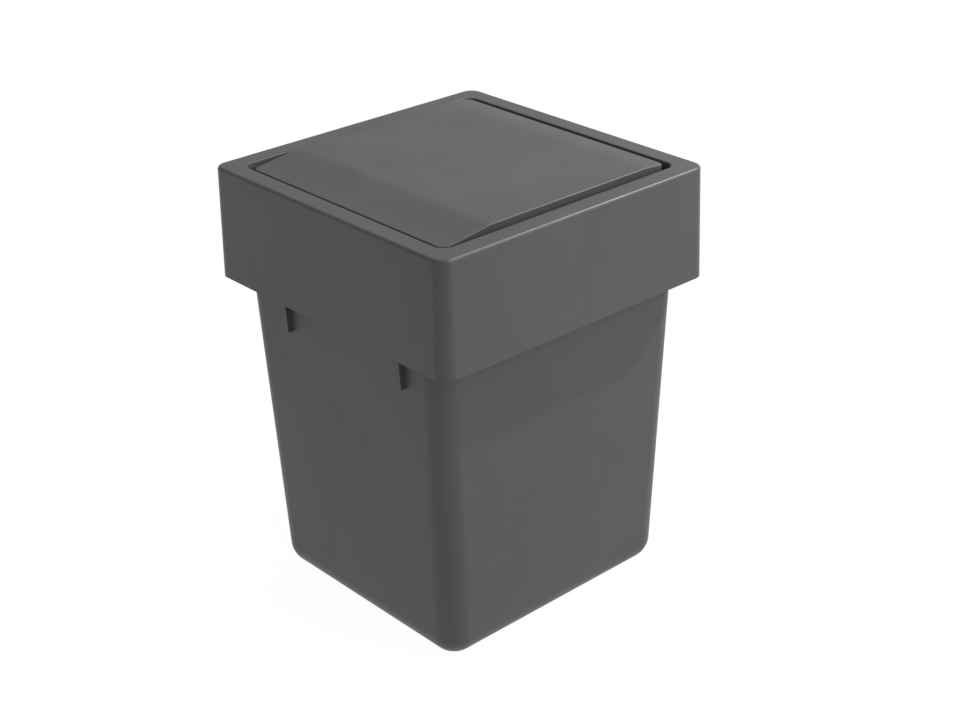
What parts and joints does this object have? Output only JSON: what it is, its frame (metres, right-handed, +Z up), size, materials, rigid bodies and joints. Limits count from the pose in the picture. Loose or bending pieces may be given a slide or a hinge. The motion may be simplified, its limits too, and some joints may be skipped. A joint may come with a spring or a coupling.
{
  "type": "door-mounted waste bin",
  "caption": "Square waste bin that hooks on a cabinet door: tapered bucket, deep hood over its rim, push-down swing lid flush in the hood, liner ring and door bracket.",
  "frame": {"origin": "middle of the door bracket's back face, where it lies on the door", "axes": "+Y into the door, -Y towards the user and the lid's sloped front edge, +Z up, +X to the right as seen from the user"},
  "size_m": [0.253, 0.269, 0.3331],
  "materials": {
    "bucket_plastic": "fine spark-eroded grain, anthracite grey",
    "hood_plastic": "fine spark-eroded grain, anthracite grey",
    "lid_plastic": "fine spark-eroded grain, anthracite grey",
    "inner_plastic": "plain moulded, dark grey",
    "ring_plastic": "plain moulded, mid grey",
    "bush_plastic": "natural white, smooth",
    "zinc_steel": "bright zinc plated",
    "bright_steel": "drawn steel",
    "rubber": "matt black"
  },
  "bodies": {
    "door_mount": {"door_bracket": "zinc_steel", "door_screws": "zinc_steel"},
    "bucket_body": {"bucket": "bucket_plastic", "hanger_plate": "zinc_steel", "hanger_screws": "zinc_steel", "door_buffer_left": "rubber", "door_buffer_right": "rubber"},
    "ring": {"liner_ring": "ring_plastic"},
    "hood": {"hood_frame": "hood_plastic", "lid_carrier": "inner_plastic", "carrier_screws": "zinc_steel", "axle_bush_left": "bush_plastic", "axle_bush_right": "bush_plastic", "lid_buffer_left": "rubber", "lid_buffer_right": "rubber"},
    "lid": {"lid_shell": "lid_plastic", "lid_panel": "inner_plastic", "lid_screws": "zinc_steel", "lid_axle": "bright_steel", "axle_caps": "bright_steel", "counterweight": "bright_steel"}
  },
  "joints": [
    {"name": "bucket_lift", "type": "slide", "parent": "door_mount", "child": "bucket_body", "axis": [0, 0, 1], "range_m": [0, 0.06]},
    {"name": "ring_lift", "type": "slide", "parent": "bucket_body", "child": "ring", "axis": [0, 0, 1], "range_m": [0, 0.045]},
    {"name": "hood_lift", "type": "slide", "parent": "bucket_body", "child": "hood", "axis": [0, 0, 1], "range_m": [0, 0.06]},
    {"name": "lid_swing", "type": "hinge", "parent": "hood", "child": "lid", "pos_m": [0, -0.1385, 0.132], "axis": [1, 0, 0], "range_deg": [0, 42]}
  ]
}
